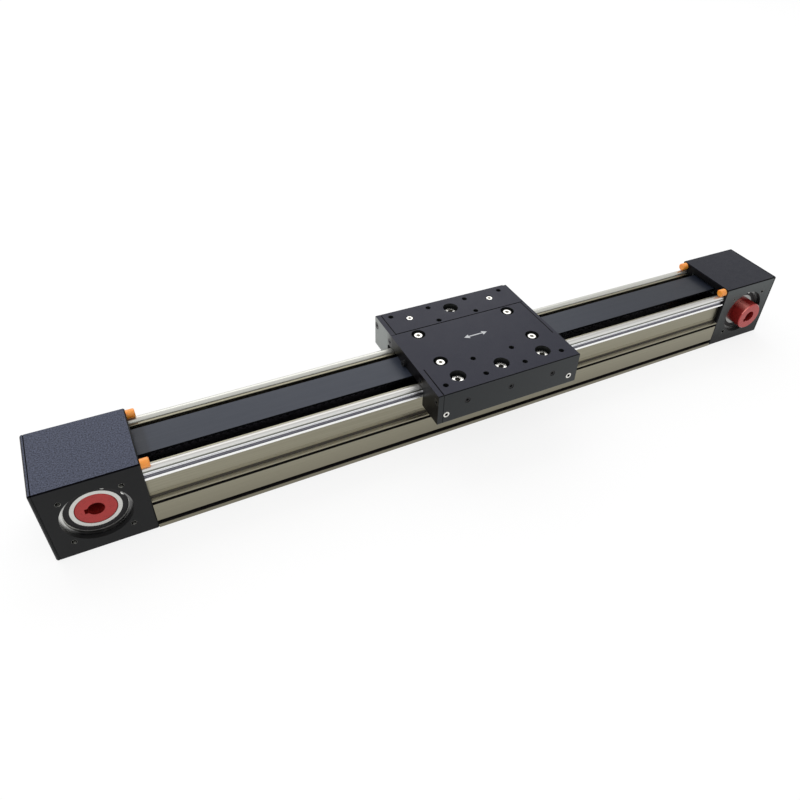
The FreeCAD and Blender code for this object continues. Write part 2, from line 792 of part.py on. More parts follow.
def rear_bar():
    """The separate rear bar with the rear skirt."""
    rear = half_carriage_width
    near = seam_rear_y + seam_gap
    section = [(near, carriage_top, carriage_edge), (rear, carriage_top, carriage_edge),
               (rear, skirt_bottom, carriage_edge), (rear - skirt_wall, skirt_bottom, 0.3),
               (rear - skirt_wall, roof_bottom, 1.0), (near, roof_bottom, 0)]
    body = extruded(section, plate_left_x, half_carriage)
    body = body.cut(box(plate_right_x, half_carriage, near, rear - skirt_wall,
                        roof_bottom - 1, carriage_top - top_skin))
    left_groove = plate_left_x + seam_groove
    body = body.cut(box(plate_left_x, left_groove, near, rear, carriage_top - seam_groove, carriage_top))
    body = body.cut(box(plate_left_x, left_groove, rear - seam_groove, rear, skirt_bottom, carriage_top))
    body = body.cut(box(plate_right_x, half_carriage, rear - corner_notch, rear, skirt_bottom, carriage_top))
    body = cut_tapped_holes(body)
    body = rear_axle_holes(body)
    body = cut_skirt_holes(body, 1)
    body = cut_end_screw_holes(body, 1)
    for sx in (-1, 1):
        body = body.cut(rod_along_y(2.6, near, rear, sx * bar_screw_x, bar_screw_z()))
        body = body.cut(rod_along_y(bar_screw_head + 0.35, rear - bar_screw_sink, rear,
                                    sx * bar_screw_x, bar_screw_z()))
    return body.removeSplitter()


def end_plate_outline(outer_y, leg_top, middle_top):
    """The arch of an end plate, clear of the rods and the belt, with a lower top on its legs or middle."""
    return [(seam_rear_y, leg_top, 0), (outer_y, leg_top, 0.4), (outer_y, skirt_bottom, 0.4),
            (leg_inner_y, skirt_bottom, 0.6), (leg_inner_y, rod_z + 2.4, 0.8),
            (leg_inner_y - 2.6, end_opening_top, 0.8), (-leg_inner_y + 2.6, end_opening_top, 0.8),
            (-leg_inner_y, rod_z + 2.4, 0.8), (-leg_inner_y, skirt_bottom, 0.6),
            (-outer_y, skirt_bottom, 0.4), (-outer_y, leg_top, 0.4), (seam_front_y, leg_top, 0),
            (seam_front_y, middle_top, 0), (seam_rear_y, middle_top, 0)]


def end_plate(left):
    skin = carriage_top - top_skin
    if left:
        outline = end_plate_outline(half_carriage_width, carriage_top, skin)
        plate = extruded(outline, -half_carriage, plate_left_x)
        face, outward, outer_y = -half_carriage, -1, end_screw_left_y
    else:
        outline = end_plate_outline(skirt_inner_y, skin, carriage_top)
        plate = extruded(outline, plate_right_x, half_carriage)
        face, outward, outer_y = half_carriage, 1, end_screw_right_y
    for side in (-1, 1):
        for y in (end_screw_inner_y, outer_y):
            plate = plate.cut(placed(sunk_hole(end_screw_head + 0.1, small_hole_radius, 5),
                                     (face, side * y, end_screw_z), (outward, 0, 0)))
    x0, x1 = sorted((face, face - outward * 5))
    plate = plate.cut(rod_along_x(small_hole_radius, x0, x1, 0, tension_screw_z))
    return plate.removeSplitter()


def end_plate_screws():
    screws = []
    for face, outward, outer_y in ((-half_carriage, -1, end_screw_left_y),
                                   (half_carriage, 1, end_screw_right_y)):
        for side in (-1, 1):
            for y in (end_screw_inner_y, outer_y):
                screw = sunk_screw(end_screw_head, small_screw_radius, end_screw_length, small_socket)
                screws.append(placed(screw, (face - outward * flush_drop, side * y, end_screw_z),
                                     (outward, 0, 0)))
    return screws


def tension_screws():
    length = half_carriage - clamp_x - clamp_length / 2 + 4
    screw = cap_screw(2.4, 2.0, tension_screw_radius, length, small_socket)
    return [placed(screw, (sx * half_carriage, 0, tension_screw_z), (sx, 0, 0))
            for sx in (-1, 1)]


# Belt clamps
def jaw_screw_spots(x):
    return (x - clamp_length / 3, x + clamp_length / 3)


def clamp_block(sx):
    x = sx * clamp_x
    block = box(x - clamp_length / 2, x + clamp_length / 2, -clamp_half_width, clamp_half_width,
                belt_top + fit_gap, clamp_top)
    for sy in (-1, 1):
        block = block.cut(rod_along_z(clamp_bolt_radius, belt_top, clamp_top, x, sy * clamp_screw_y))
        for spot in jaw_screw_spots(x):
            y = sy * jaw_screw_y
            block = block.cut(rod_along_z(small_hole_radius, belt_top, clamp_top, spot, y))
            head_floor = clamp_top - jaw_head_depth
            block = block.cut(rod_along_z(jaw_head_radius + 0.15, head_floor, clamp_top, spot, y))
    end = x + sx * clamp_length / 2
    x0, x1 = sorted((end, end - sx * 5))
    block = block.cut(rod_along_x(tension_screw_radius, x0, x1, 0, tension_screw_z))
    return block


def clamp_jaw(sx):
    """The toothed jaw under the belt, with a groove for each tooth over its length."""
    x = sx * clamp_x
    top = axis_z + belt_inside - fit_gap
    floor = axis_z + belt_inside - tooth_height - 0.15
    jaw = box(x - clamp_length / 2, x + clamp_length / 2, -jaw_half_width, jaw_half_width, jaw_bottom, top)
    for i in range(strand_teeth):
        tooth = -pulley_x + (i + 0.5) * strand_pitch - carriage_x
        if abs(tooth - x) > clamp_length / 2 + tooth_base:
            continue
        half_top = tooth_base / 2 + 0.2
        half_floor = tooth_tip / 2 + 0.2
        points = [Vector(tooth - half_top, 0, top), Vector(tooth - half_floor, 0, floor),
                  Vector(tooth + half_floor, 0, floor), Vector(tooth + half_top, 0, top),
                  Vector(tooth - half_top, 0, top)]
        groove = Part.Face(Part.makePolygon(points)).extrude(Vector(0, belt_width + 1, 0))
        groove.translate(Vector(0, -half_belt - 0.5, 0))
        jaw = jaw.cut(groove)
    for sy in (-1, 1):
        for spot in jaw_screw_spots(x):
            jaw = jaw.cut(rod_along_z(jaw_screw_radius, jaw_bottom, top, spot, sy * jaw_screw_y))
    return jaw


def clamp_screws():
    seat = carriage_top - clamp_head_depth - clamp_head_height
    screw = cap_screw(clamp_head_radius, clamp_head_height, clamp_bolt_radius,
                      seat - belt_top - clamp_bolt_end_gap, clamp_socket)
    return [placed(screw, (sx * clamp_x, sy * clamp_screw_y, seat), (0, 0, 1))
            for sx in (-1, 1) for sy in (-1, 1)]


def jaw_screws():
    seat = clamp_top - jaw_head_depth
    head = rod_along_z(jaw_head_radius, 0, jaw_head_depth - 0.2, 0, 0)
    screw = head.fuse(rod_along_z(jaw_screw_radius, jaw_bottom - seat, 0, 0, 0))
    return [placed(screw, (spot, sy * jaw_screw_y, seat), (0, 0, 1))
            for sx in (-1, 1) for spot in jaw_screw_spots(sx * clamp_x) for sy in (-1, 1)]


# Rollers and their axles
def roller(x, side):
    """A grooved outer ring that fits round the guide rod, with its shields set back."""
    half = roller_width / 2
    inner = inner_race_radius + running_clearance
    groove_radius = rod_radius + groove_clearance
    rim_half = math.sqrt(groove_radius ** 2 - (roller_offset - roller_radius) ** 2)
    points = [(inner, half - shield_recess), (shield_radius, half - shield_recess), (shield_radius, half),
              (roller_radius - 0.6, half), (roller_radius, half - 0.6), (roller_radius, rim_half)]
    upper = [Vector(r, 0, z) for r, z in points]
    lower = [Vector(r, 0, -z) for r, z in reversed(points)]
    edges = [Part.LineSegment(a, b).toShape() for a, b in zip(upper, upper[1:])]
    edges.append(Part.Arc(upper[-1], Vector(roller_offset - groove_radius, 0, 0), lower[0]).toShape())
    edges += [Part.LineSegment(a, b).toShape() for a, b in zip(lower, lower[1:])]
    edges.append(Part.LineSegment(lower[-1], upper[0]).toShape())
    ring = Part.Face(Part.Wire(edges)).revolve(Vector(0, 0, 0), Vector(0, 0, 1), 360)
    ring.translate(Vector(x, side * roller_y, rod_z))
    return ring


def roller_inner_race(x, side):
    race = rod_along_z(inner_race_radius, roller_bottom, roller_top, x, side * roller_y)
    return race.cut(rod_along_z(axle_radius, roller_bottom, roller_top, x, side * roller_y))


def axle_nut(x, side):
    nut = hexagon(nut_flats, nut_height)
    nut.translate(Vector(x, side * roller_y, axle_bottom))
    return nut.cut(rod_along_z(axle_radius, axle_bottom, roller_bottom, x, side * roller_y))


def spacer_washer(x):
    washer = rod_along_z(inner_race_radius, roller_top, roof_bottom, x, -roller_y)
    return washer.cut(rod_along_z(axle_radius, roller_top, roof_bottom, x, -roller_y))


def front_axle_bolt(x):
    bolt = cap_screw(axle_head_radius, axle_head_height, axle_radius, axle_seat - axle_bottom, 4.0)
    return placed(bolt, (x, -roller_y, axle_seat), (0, 0, 1))


def eccentric_axle(x):
    """An axle whose upper shank stands off its journal, so that turning it sets the roller."""
    journal = rod_along_z(axle_radius, axle_bottom, roller_top, x, roller_y)
    collar = rod_along_z(inner_race_radius, roller_top, roof_bottom, x, roller_y)
    if x == 0:
        upper = placed(cap_screw(axle_head_radius, axle_head_height, stud_radius,
                                 axle_seat - roof_bottom, 4.0), (x, axle_head_y, axle_seat), (0, 0, 1))
    else:
        top = carriage_top - 0.2
        upper = rod_along_z(stud_radius, roof_bottom, top, x, axle_head_y)
        socket = hexagon(2.5, 2.0)
        socket.translate(Vector(x, axle_head_y, top - 1.5))
        upper = upper.cut(socket)
    return journal.fuse(collar).fuse(upper).removeSplitter()


# Skirt fittings
def wiper(x, side):
    """A felt block in the skirt's end, cut out round the rod."""
    x0, x1 = x - wiper_length / 2, x + wiper_length / 2
    low_z = skirt_screw_z - 3
    step_z = flange_top + 0.9
    over_z = rod_z + 1.2
    side_y = cradle_front + wiper_gap
    corners = [(skirt_inner_y, roof_bottom, 1.0), (skirt_inner_y, low_z, 0.5),
               (skirt_inner_y - wiper_foot, low_z, 0.5), (skirt_inner_y - wiper_slope_end, step_z, 0.5),
               (side_y, step_z, 0), (side_y, over_z, 0),
               (rod_y - rod_radius, over_z, 0), (rod_y - rod_radius, roof_bottom, 0)]
    block = extruded(corners, x0, x1)
    block = block.cut(rod_along_x(rod_radius + wiper_gap, x0, x1, rod_y, rod_z))
    hole_end = half_carriage_width - skirt_screw_length - 1.0
    block = block.cut(rod_along_y(small_screw_radius, hole_end, skirt_inner_y, x, skirt_screw_z))
    return block if side > 0 else mirrored_y(block)


def skirt_screws():
    screw = sunk_screw(skirt_screw_head, small_screw_radius, skirt_screw_length, small_socket)
    return [placed(screw, (x, side * (half_carriage_width - flush_drop), skirt_screw_z), (0, side, 0))
            for x in (-skirt_screw_x, skirt_screw_x) for side in (-1, 1)]


def grease_plugs():
    plugs = []
    for x in roller_x:
        plug = rod_along_z(grease_radius, -skirt_wall, -0.3, 0, 0)
        socket = hexagon(small_socket, 1.5)
        socket.translate(Vector(0, 0, -1.4))
        plug = plug.cut(socket)
        for side in (-1, 1):
            plugs.append(placed(plug, (x, side * half_carriage_width, grease_z), (0, side, 0)))
    return plugs


def bar_screws():
    seat_y = half_carriage_width - bar_screw_sink
    screw = cap_screw(bar_screw_head, bar_screw_head_height, port_radius, seat_y - bar_screw_end_y, 4.0)
    return [placed(screw, (sx * bar_screw_x, seat_y, bar_screw_z()), (0, 1, 0))
            for sx in (-1, 1)]


def with_mirror(shapes):
    return shapes + [mirrored_x(shape) for shape in shapes]


def save(name, shapes):
    if not isinstance(shapes, list):
        shapes = [shapes]
    whole = shapes[0] if len(shapes) == 1 else Part.makeCompound(shapes)
    whole.exportStep("parts/" + name + ".step")


def save_on_carriage(name, shapes):
    if not isinstance(shapes, list):
        shapes = [shapes]
    save(name, [shape.translated(Vector(carriage_x, 0, 0)) for shape in shapes])


os.makedirs("parts", exist_ok=True)

save("profile", profile())
save("guide_rod_front", guide_rod(-1))
save("guide_rod_rear", guide_rod(1))

drive_housing = housing()
save("drive_housing", drive_housing)
save("idler_housing", mirrored_x(drive_housing))
cover = end_cover()
save("drive_end_cover", cover)
save("idler_end_cover", mirrored_x(cover))
save("end_cover_screws", with_mirror(cover_screws()))
save("housing_screws", with_mirror(housing_screws()))

outer_rings = [bearing_outer_ring(-1), bearing_outer_ring(1)]
save("drive_bearing_outer_rings", outer_rings)
save("idler_bearing_outer_rings", [mirrored_x(ring) for ring in outer_rings])
save("bearing_seals", with_mirror([bearing_seal(-1), bearing_seal(1)]))
save("retaining_rings", [retaining_ring(side, x, angle) for side in (-1, 1)
                         for x, angle in ((pulley_x, 100), (-pulley_x, 47))])
save("buffers", buffers())
save("drive_belt", drive_belt())

pulley = toothed_pulley()
flanges = pulley_flanges()
inner_rings = [bearing_inner_ring(-1), bearing_inner_ring(1)]
save("drive_pulley", pulley)
save("drive_pulley_flanges", flanges)
save("drive_hub", hub(half_width + hub_reach, 215))
save("drive_bearing_inner_rings", inner_rings)
save("idler_pulley", mirrored_x(pulley))
save("idler_pulley_flanges", [mirrored_x(flange) for flange in flanges])
save("idler_hub", mirrored_x(hub(bearing_face, 0)))
save("idler_bearing_inner_rings", [mirrored_x(ring) for ring in inner_rings])

save_on_carriage("carriage_plate", carriage_plate())
save_on_carriage("rear_guide_bar", rear_bar())
save_on_carriage("left_end_plate", end_plate(True))
save_on_carriage("right_end_plate", end_plate(False))
save_on_carriage("end_plate_screws", end_plate_screws())
save_on_carriage("belt_tension_screws", tension_screws())
save_on_carriage("left_belt_clamp", clamp_block(-1))
save_on_carriage("right_belt_clamp", clamp_block(1))
save_on_carriage("left_clamp_jaw", clamp_jaw(-1))
save_on_carriage("right_clamp_jaw", clamp_jaw(1))
save_on_carriage("belt_clamp_screws", clamp_screws())
save_on_carriage("clamp_jaw_screws", jaw_screws())
save_on_carriage("front_axle_bolts", [front_axle_bolt(x) for x in roller_x])
save_on_carriage("eccentric_axles", [eccentric_axle(x) for x in roller_x])
save_on_carriage("spacer_washers", [spacer_washer(x) for x in roller_x])
save_on_carriage("roller_inner_races", [roller_inner_race(x, side) for side in (-1, 1) for x in roller_x])
save_on_carriage("axle_nuts", [axle_nut(x, side) for side in (-1, 1) for x in roller_x])
save_on_carriage("rod_wipers", [wiper(x, side) for side in (-1, 1) for x in (-skirt_screw_x, skirt_screw_x)])
save_on_carriage("skirt_screws", skirt_screws())
save_on_carriage("grease_plugs", grease_plugs())
save_on_carriage("rear_bar_screws", bar_screws())

for side, row in ((-1, "front"), (1, "rear")):
    for x, place in zip(roller_x, ("left", "middle", "right")):
        save_on_carriage("roller_" + row + "_" + place, roller(x, side))
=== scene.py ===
import json
import math
import bpy
import bmesh
from mathutils import Matrix, Vector


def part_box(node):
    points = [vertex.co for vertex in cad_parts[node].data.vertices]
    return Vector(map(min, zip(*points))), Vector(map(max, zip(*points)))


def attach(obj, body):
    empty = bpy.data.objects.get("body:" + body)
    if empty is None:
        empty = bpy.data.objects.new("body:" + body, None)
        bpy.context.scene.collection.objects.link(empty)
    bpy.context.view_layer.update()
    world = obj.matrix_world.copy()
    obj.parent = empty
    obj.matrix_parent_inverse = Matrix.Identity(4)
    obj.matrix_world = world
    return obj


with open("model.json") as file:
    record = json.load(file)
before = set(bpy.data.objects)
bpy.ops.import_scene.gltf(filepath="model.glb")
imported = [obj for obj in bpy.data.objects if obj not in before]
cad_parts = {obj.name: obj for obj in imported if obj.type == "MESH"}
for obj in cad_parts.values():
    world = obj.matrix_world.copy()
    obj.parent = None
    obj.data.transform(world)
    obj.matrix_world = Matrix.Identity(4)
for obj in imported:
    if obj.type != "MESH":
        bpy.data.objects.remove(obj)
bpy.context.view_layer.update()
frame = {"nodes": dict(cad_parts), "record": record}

# Camera, fitted to the photograph: metres, degrees, and shift as a share of the frame
CAMERA_AT = Vector((-0.24015, -0.36426, 0.37817))
CAMERA_AZIMUTH = 31.068
CAMERA_DOWN = 39.797
CAMERA_ROLL = 4.372
CAMERA_LENS = 31.570
CAMERA_SHIFT = (-0.05519, -0.0202)
CAMERA_NEAREST = 0.01

# Lamps, each a place and its two sides in metres and its power in watts, all aimed at one point
LAMPS = {
    "back_softbox": ((0.0, 1.10, 1.20), 2.2, 1.4, 12.0),
    "side_softbox": ((-1.3, -0.5, 1.0), 1.0, 1.0, 2.0),
}
LAMP_TARGET = (0.0, 0.0, 0.03)

# World and floor
WORLD_LIGHT = 0.70
FLOOR_SHARE = 0.72
FLOOR_GLOW = 1.12
FLOOR_REACH = 12.0
FLOOR_GAP = 0.0002

# Travel mark, in metres
ARROW_LENGTH = 0.020
ARROW_HEAD = 0.0042
ARROW_LINE = 0.0011
ARROW_WING = 0.55 * ARROW_HEAD
ARROW_RAISED = 0.00006
ARROW_THICKNESS = 1.5 * ARROW_RAISED

# Hub axles and carriage, from the frame
JOINTS = {joint["name"]: joint for joint in frame["record"]["behaviour"]["joints"]}
AXLE_X = float(JOINTS["drive_spin"]["pos_m"][0])
AXLE_Z = float(JOINTS["drive_spin"]["pos_m"][2])
PLATE_LOW, PLATE_HIGH = [[float(value) for value in corner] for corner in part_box("carriage_plate")]
CARRIAGE_X = (PLATE_LOW[0] + PLATE_HIGH[0]) / 2
CARRIAGE_LEFT, CARRIAGE_FRONT = PLATE_LOW[:2]
CARRIAGE_TOP = PLATE_HIGH[2]

# Bands of the profile's section where painted shade and painted highlights lie, from and to. Each is
# across from the middle plane, then up
LEDGE = (0.0254, 0.0267), (0.0455, 0.0471)
RIM = (0.0250, 0.0257), (0.0471, 0.0503)
LIP = (0.0267, 0.0280), (0.0436, 0.0458)
SLOTS = (0.0200, 0.0276), (-0.0010, 0.0250)
FOOT = (0.0240, 0.0253), (0.0255, 0.0274)
STEP_TOP = (0.0253, 0.0278), (0.0254, 0.0259)
CHANNEL = (-0.0197, 0.0165), (0.0420, 0.0506)

# Seams between the carriage's plates: strips from and to, and what they stop at
LEFT_SEAM = (-0.0522, -0.0513)
RIGHT_SEAM = (0.0605, 0.0614)
REAR_SEAM = (0.0241, 0.0251)
SEAM_FRONT_Y = -0.0220
LEFT_SEAM_BACK_Y = 0.0245
RIGHT_SEAM_BACK_Y = 0.0250

# Holes and screws: offsets from their centres, radii and bands of height
SCREW_CIRCLE_OFFSET = 0.0175
THREAD_RADIUS = 0.0017
THREAD_TURNS = 1400.0
CLAMP_SCREW_OFFSET = (0.040, 0.018)
CLAMP_RIM = (0.00295, 0.0040)
SKIRT_SCREW_OFFSET = 0.053
SKIRT_SCREW_Z = 0.0461
SKIRT_SOCKET_RADIUS = 0.00125
SKIRT_RIM = (0.00235, 0.0040)
SUNK_HEADS = (CARRIAGE_TOP - 0.0033, CARRIAGE_TOP - 0.0016)
SOCKET_FLOORS = (CARRIAGE_TOP - 0.0066, CARRIAGE_TOP - 0.0058)

# Radii about the hub axles: just outside the bores, round the rings' lugs, inside the hubs' skin
BORE_EDGE = 0.0235
RING_LUGS = 0.0184
HUB_SKIN = 0.0115

# Heights over which the tops, the seams and the clamp screws' heads lie
HOUSING_TOPS = 0.0590
PLATE_TOPS = CARRIAGE_TOP - 0.0011
SEAM_FLOORS = CARRIAGE_TOP - 0.0016
CLAMP_HEADS = CARRIAGE_TOP - 0.0036

# Limits of the carriage's front face, front edge and left ends, of the screw heads in its sides
# and of the part's right half
SKIRT_SKIN = CARRIAGE_FRONT + 0.0013
FRONT_EDGE = CARRIAGE_FRONT + 0.0008
LEFT_ENDS = CARRIAGE_LEFT + 0.0005
SIDE_HEADS = 0.0512
RIGHT_HALF = 0.1

# Fades of painted light and shade along, across or up the part, from and to
FACE_FADE = (0.0040, 0.0250)
HOUSING_FADE = (-0.2, 0.2)
HOUSING_FRONT_FADE = (0.005, 0.055)
SKIRT_FADE = (-0.05, 0.06)
REAR_LEG_FADE = (0.022, 0.032)
RING_END_FADE = (-0.2990, -0.2900)
BELT_FADE = (0.05, 0.24)
BELT_END_FADE = (-0.2400, -0.2375)

# Slopes of faces, as the upward part of their normal, and the levels that noise mostly lies between
LEVEL_FACE = 0.9
TURNS_UP = (0.85, 0.98)
CHAMFER_SLOPE = (0.4, 0.9)
GRAIN = (0.3, 0.7)


# Shader helpers
def new_look(name, colour, roughness, metallic=0.0, specular=0.5, coat=0.0):
    """A material with one Principled shader. Returns its node tree and that shader."""
    look = bpy.data.materials.new(name)
    look.use_nodes = True
    tree = look.node_tree
    body = tree.nodes["Principled BSDF"]
    body.inputs["Base Color"].default_value = (*colour, 1.0)
    body.inputs["Roughness"].default_value = roughness
    body.inputs["Metallic"].default_value = metallic
    body.inputs["Specular IOR Level"].default_value = specular
    body.inputs["Coat Weight"].default_value = coat
    return tree, body


def noise(tree, cells, detail=3.0, sharpness=0.5):
    """Noise over the object's own coordinates, in cells per metre, one number or one per axis."""
    place = tree.nodes.new("ShaderNodeTexCoord")
    scale = tree.nodes.new("ShaderNodeMapping")
    scale.inputs["Scale"].default_value = cells if isinstance(cells, tuple) else (cells, cells, cells)
    grain = tree.nodes.new("ShaderNodeTexNoise")
    grain.inputs["Scale"].default_value = 1.0
    grain.inputs["Detail"].default_value = detail
    grain.inputs["Roughness"].default_value = sharpness
    tree.links.new(place.outputs["Object"], scale.inputs["Vector"])
    tree.links.new(scale.outputs["Vector"], grain.inputs["Vector"])
    return grain.outputs["Fac"]


def spread(tree, value, band, at_low=0.0, at_high=1.0):
    """Maps a value between the ends of a band on to another range."""
    ramp = tree.nodes.new("ShaderNodeMapRange")
    ramp.inputs["From Min"].default_value = band[0]
    ramp.inputs["From Max"].default_value = band[1]
    ramp.inputs["To Min"].default_value = at_low
    ramp.inputs["To Max"].default_value = at_high
    tree.links.new(value, ramp.inputs["Value"])
    return ramp.outputs["Result"]


def vary_roughness(tree, body, value, at_low, at_high):
    """Spreads the roughness between two values along the grain."""
    tree.links.new(spread(tree, value, GRAIN, at_low, at_high), body.inputs["Roughness"])


def vary_colour(tree, body, value, first, second):
    """Spreads the base colour between two colours along the grain. Returns that colour."""
    colour = blend(tree, spread(tree, value, GRAIN), first, second)
    tree.links.new(colour, body.inputs["Base Color"])
    return colour


def bumped(tree, body, value, depth, strength=1.0):
    """Raises the surface by the grain, depth in metres."""
    bump = tree.nodes.new("ShaderNodeBump")
    bump.inputs["Distance"].default_value = depth
    bump.inputs["Strength"].default_value = strength
    tree.links.new(value, bump.inputs["Height"])
    tree.links.new(bump.outputs["Normal"], body.inputs["Normal"])


def step(tree, operation, first, second=0.0):
    """One math step. Each operand is a socket or a number."""
    node = tree.nodes.new("ShaderNodeMath")
    node.operation = operation
    for place, value in enumerate((first, second)):
        if isinstance(value, (int, float)):
            node.inputs[place].default_value = value
        else:
            tree.links.new(value, node.inputs[place])
    return node.outputs["Value"]


def above(tree, value, level):
    """1 where the value is over the level, otherwise 0."""
    return step(tree, "GREATER_THAN", value, level)


def below(tree, value, level):
    """1 where the value is under the level, otherwise 0."""
    return step(tree, "LESS_THAN", value, level)


def both(tree, first, second):
    """The product of two masks."""
    return step(tree, "MULTIPLY", first, second)


def either(tree, first, second):
    """The larger of two masks."""
    return step(tree, "MAXIMUM", first, second)


def inside(tree, value, band):
    """1 where the value lies in the band, otherwise 0."""
    return both(tree, above(tree, value, band[0]), below(tree, value, band[1]))


def patch(tree, first, first_band, second, second_band):
    """1 where two values both lie in their bands."""
    return both(tree, inside(tree, first, first_band), inside(tree, second, second_band))


def split(tree, output):
    """The three parts of the object's own coordinates or of its normal."""
    place = tree.nodes.new("ShaderNodeTexCoord")
    parts = tree.nodes.new("ShaderNodeSeparateXYZ")
    tree.links.new(place.outputs[output], parts.inputs["Vector"])
    return parts.outputs["X"], parts.outputs["Y"], parts.outputs["Z"]


def away(tree, across, along):
    """How far a point lies from a centre, from its two offsets."""
    square = step(tree, "ADD", step(tree, "POWER", across, 2.0), step(tree, "POWER", along, 2.0))
    return step(tree, "SQRT", square)


def mirrored(tree, value, middle, offset):
    """Offset of a value from the nearer of two centres, one on each side of the middle."""
    side = step(tree, "ABSOLUTE", step(tree, "SUBTRACT", value, middle))
    return step(tree, "ABSOLUTE", step(tree, "SUBTRACT", side, offset))


def from_axles(tree, x, z):
    """How far a point lies from the nearer hub axle."""
    return away(tree, mirrored(tree, x, 0.0, AXLE_X), step(tree, "SUBTRACT", z, AXLE_Z))


def blend(tree, share, first, second):
    """Mixes two colours, each a socket or a constant."""
    mix = tree.nodes.new("ShaderNodeMix")
    mix.data_type = "RGBA"
    tree.links.new(share, mix.inputs["Factor"])
    for name, colour in (("A", first), ("B", second)):
        if isinstance(colour, tuple):
            mix.inputs[name].default_value = (*colour, 1.0)
        else:
            tree.links.new(colour, mix.inputs[name])
    return mix.outputs["Result"]


def layered(tree, body, ground, layers):
    """Lays colours over a ground colour, each where its mask is 1, as the base colour."""
    for share, colour in layers:
        ground = blend(tree, share, ground, colour)
    tree.links.new(ground, body.inputs["Base Color"])


# Looks, one for each material slot of the record
def anodised_profile(name):
    """Champagne anodised, painted darker towards the bottom, with painted shade in its channel, slots
    and corners and painted highlights along its lips.
    """
    tree, body = new_look(name, (0.36, 0.34, 0.27), 0.36, metallic=1.0)
    lines = noise(tree, (6.0, 900.0, 900.0), detail=4.0)
    fine = noise(tree, 2600.0, detail=2.0)
    champagne = vary_colour(tree, body, lines, (0.25, 0.235, 0.175), (0.30, 0.283, 0.215))
    _, y, z = split(tree, "Object")
    across = step(tree, "ABSOLUTE", y)
    slots = patch(tree, across, SLOTS[0], z, SLOTS[1])
    foot = patch(tree, across, FOOT[0], z, FOOT[1])
    # Painted shade and highlights: darker towards the bottom, painted shade in the channel, on the
    # ledge, in the slots and on the foot, painted highlights on the rim, the lip and the top of the step
    layered(tree, body, champagne, (
        (spread(tree, z, FACE_FADE, 1.0, 0.0), (0.205, 0.190, 0.142)),
        (patch(tree, y, CHANNEL[0], z, CHANNEL[1]), (0.030, 0.028, 0.036)),
        (patch(tree, across, LEDGE[0], z, LEDGE[1]), (0.24, 0.24, 0.27)),
        (patch(tree, across, RIM[0], z, RIM[1]), (0.90, 0.91, 0.93)),
        (patch(tree, across, LIP[0], z, LIP[1]), (0.96, 0.96, 0.95)),
        (slots, (0.030, 0.027, 0.030)),
        (foot, (0.050, 0.044, 0.034)),
        (patch(tree, across, STEP_TOP[0], z, STEP_TOP[1]), (0.62, 0.60, 0.52))))
    # The slots and the foot, which carry painted shade, are made less metallic so that they reflect less
    shaded_bands = either(tree, slots, foot)
    tree.links.new(spread(tree, shaded_bands, (0.0, 1.0), 1.0, 0.3), body.inputs["Metallic"])
    vary_roughness(tree, body, lines, 0.30, 0.42)
    bumped(tree, body, fine, 0.000012, 0.5)


def polished_steel(name):
    """Ground guide rods, with fine lines round them, coloured by painted light: on the front rod a
    darker top, a painted dark reflection line just above the middle and a painted bright reflection
    underneath, on the rear rod painted shade darkening it downwards.
    """
    tree, body = new_look(name, (0.64, 0.63, 0.57), 0.30, metallic=0.8)
    lines = noise(tree, (1200.0, 90.0, 90.0))
    vary_roughness(tree, body, lines, 0.28, 0.33)
    _, y, _ = split(tree, "Object")
    _, _, nz = split(tree, "Normal")
    # Painted light on the front rod: darker at the top, a painted dark reflection line just above the
    # middle, a painted bright reflection underneath
    front = blend(tree, spread(tree, nz, (0.75, 0.95)), (0.70, 0.70, 0.68), (0.50, 0.49, 0.47))
    front = blend(tree, inside(tree, nz, (0.0, 0.40)), front, (0.17, 0.175, 0.15))
    front = blend(tree, below(tree, nz, 0.0), front, (0.95, 0.96, 0.98))
    # Painted shade on the rear rod, darker towards the bottom
    rear = blend(tree, spread(tree, nz, (-0.45, 0.50), 1.0, 0.0), (0.54, 0.54, 0.50), (0.10, 0.10, 0.08))
    tree.links.new(blend(tree, above(tree, y, 0.0), front, rear), body.inputs["Base Color"])


def painted_lit_tops(tree, body, top, side, grain, levels, top_level):
    """A grainy finish on the faces that look up above a level, coloured lighter as painted light from
    above, a plain darker one on the rest, and black chamfers between them, which reflect nothing, as
    painted dark reflections.
    Returns where the chamfers are."""
    grainy = blend(tree, spread(tree, grain, levels), *top)
    x, _, z = split(tree, "Object")
    _, _, nz = split(tree, "Normal")
    up = both(tree, spread(tree, nz, TURNS_UP), above(tree, z, top_level))
    beside_bores = above(tree, from_axles(tree, x, z), BORE_EDGE)
    chamfer = both(tree, inside(tree, nz, CHAMFER_SLOPE), beside_bores)
    # Chamfers painted black as a dark reflection
    side = blend(tree, chamfer, side, (0.0035, 0.0035, 0.0045))
    # Tops painted lighter than the sides, as light from above, over their grain
    tree.links.new(blend(tree, up, side, grainy), body.inputs["Base Color"])
    tree.links.new(chamfer, body.inputs["Metallic"])
    return chamfer


def painted_thread_glints(tree, x, y, z):
    """1 on every second turn of the threads in the four screw holes round each bore, where the threads
    are painted as pale stripes that act as painted glints.
    """
    across = step(tree, "SUBTRACT", mirrored(tree, x, 0.0, AXLE_X), SCREW_CIRCLE_OFFSET)
    hole = away(tree, across, mirrored(tree, z, AXLE_Z, SCREW_CIRCLE_OFFSET))
    turns = step(tree, "FRACT", step(tree, "MULTIPLY", y, THREAD_TURNS))
    return both(tree, below(tree, hole, THREAD_RADIUS), above(tree, turns, 0.5))


